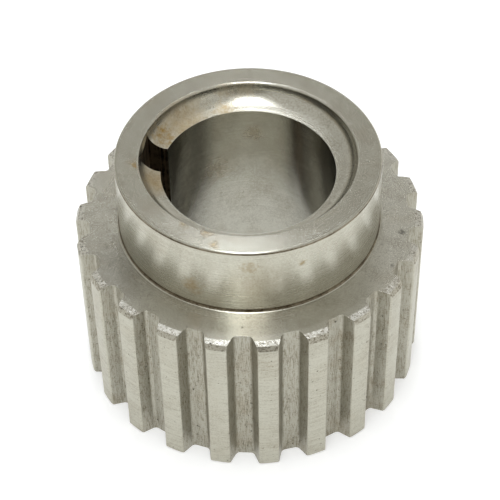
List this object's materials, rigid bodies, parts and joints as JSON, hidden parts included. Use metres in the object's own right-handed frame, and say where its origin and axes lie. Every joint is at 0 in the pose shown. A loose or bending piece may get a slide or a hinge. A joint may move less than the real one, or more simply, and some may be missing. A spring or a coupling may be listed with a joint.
{
  "type": "crankshaft sprocket",
  "caption": "Toothed timing-belt sprocket for a crankshaft, turned steel, with a plain hub, a coved bore mouth and a broached keyway.",
  "frame": {"origin": "centre of the bore on the seating face, the flat end away from the hub", "axes": "+Z along the bore towards the hub, -X through the middle of the keyway, -Y through the middle of a tooth"},
  "size_m": [0.0656, 0.066, 0.05],
  "materials": {
    "turned_steel": "satin turned and hobbed steel, light rust stains round the cove and keyway"
  },
  "bodies": {
    "root": {"crankshaft_sprocket": "turned_steel"}
  },
  "joints": []
}
